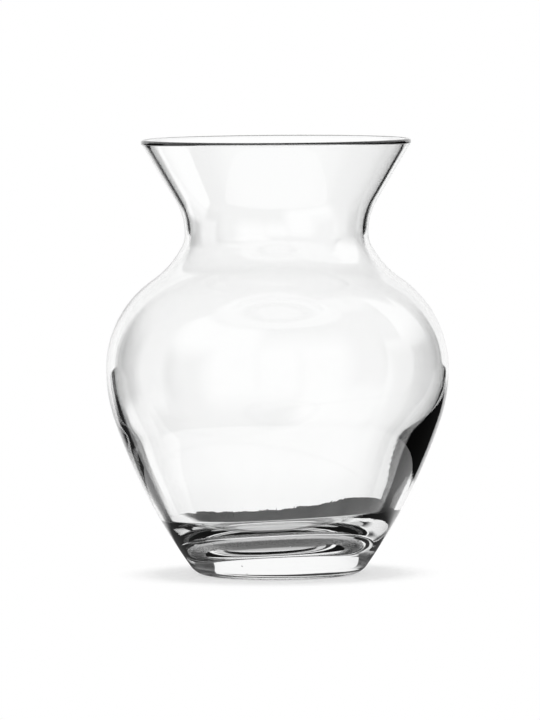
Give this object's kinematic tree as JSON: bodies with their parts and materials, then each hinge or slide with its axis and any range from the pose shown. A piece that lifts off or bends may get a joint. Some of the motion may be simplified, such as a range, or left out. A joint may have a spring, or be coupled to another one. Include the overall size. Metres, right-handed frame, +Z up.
{
  "type": "rose bowl vase",
  "caption": "Clear glass rose bowl vase with a flared mouth, waisted neck, round belly and thick tapering base, which holds water and a short bouquet.",
  "frame": {"origin": "on the vase's axis, in the plane of the flat foot ring that it stands on", "axes": "+Z up along the vase's axis, from the foot to the mouth; the vase is round, so X and Y are alike"},
  "size_m": [0.1338, 0.1338, 0.17],
  "materials": {
    "clear_glass": "clear soda-lime glass, fire-polished, with a stippled foot ring"
  },
  "bodies": {
    "root": {"glass_vase": "clear_glass"}
  },
  "joints": []
}
